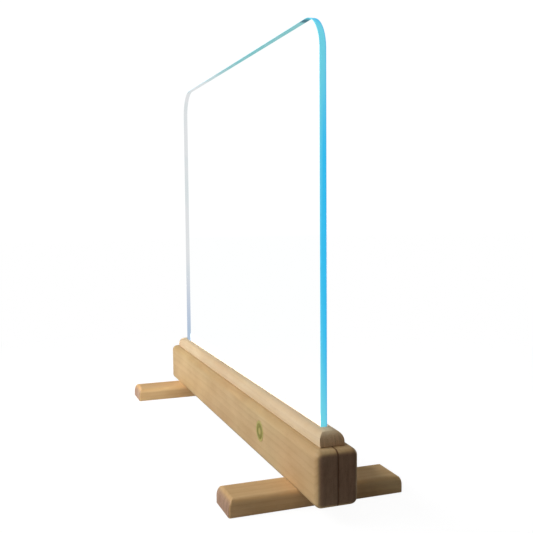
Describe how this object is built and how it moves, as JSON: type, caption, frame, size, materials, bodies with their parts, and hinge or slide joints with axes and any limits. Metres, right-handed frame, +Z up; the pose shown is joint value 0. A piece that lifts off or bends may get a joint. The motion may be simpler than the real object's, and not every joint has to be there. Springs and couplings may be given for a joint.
{
  "type": "sneeze guard",
  "caption": "Free-standing counter-top sneeze guard: a clear acrylic panel with rounded top corners that lifts out of a slotted wooden beam on cross feet.",
  "frame": {"origin": "on the counter, under the middle of the beam", "axes": "+X along the beam to the end nearer the disc, -Y towards the customer's side (front), +Z up"},
  "size_m": [0.52, 0.162, 0.4128],
  "materials": {
    "beam_wood": "pale close-grained hardwood, satin clear lacquer",
    "cap_wood": "pale close-grained hardwood, a shade lighter, satin clear lacquer",
    "foot_wood": "pale close-grained hardwood, satin clear lacquer",
    "dowel_wood": "bare turned hardwood dowel",
    "clear_acrylic": "clear cast acrylic sheet with polished edges that glow pale cyan",
    "screw_steel": "zinc-plated steel wood screw",
    "pad_rubber": "matt black rubber",
    "olive_print": "plain matt olive disc with a paler rim"
  },
  "bodies": {
    "base": {"front_board": "beam_wood", "rear_board": "beam_wood", "cap_moulding": "cap_wood", "left_foot": "foot_wood", "left_foot_screw_front": "screw_steel", "left_pad_front": "pad_rubber", "left_foot_screw_rear": "screw_steel", "left_pad_rear": "pad_rubber", "right_foot": "foot_wood", "right_foot_screw_front": "screw_steel", "right_pad_front": "pad_rubber", "right_foot_screw_rear": "screw_steel", "right_pad_rear": "pad_rubber", "board_dowel_left_outer": "dowel_wood", "board_dowel_left_inner": "dowel_wood", "board_dowel_right_inner": "dowel_wood", "board_dowel_right_outer": "dowel_wood", "cap_dowel_front_left": "dowel_wood", "cap_dowel_front_middle": "dowel_wood", "cap_dowel_front_right": "dowel_wood", "cap_dowel_rear_left": "dowel_wood", "cap_dowel_rear_middle": "dowel_wood", "cap_dowel_rear_right": "dowel_wood", "face_disc": "olive_print"},
    "panel": {"clear_panel": "clear_acrylic"}
  },
  "joints": [
    {"name": "panel_lift", "type": "slide", "parent": "base", "child": "panel", "axis": [0, 0, 1], "range_m": [0, 0.05]}
  ]
}
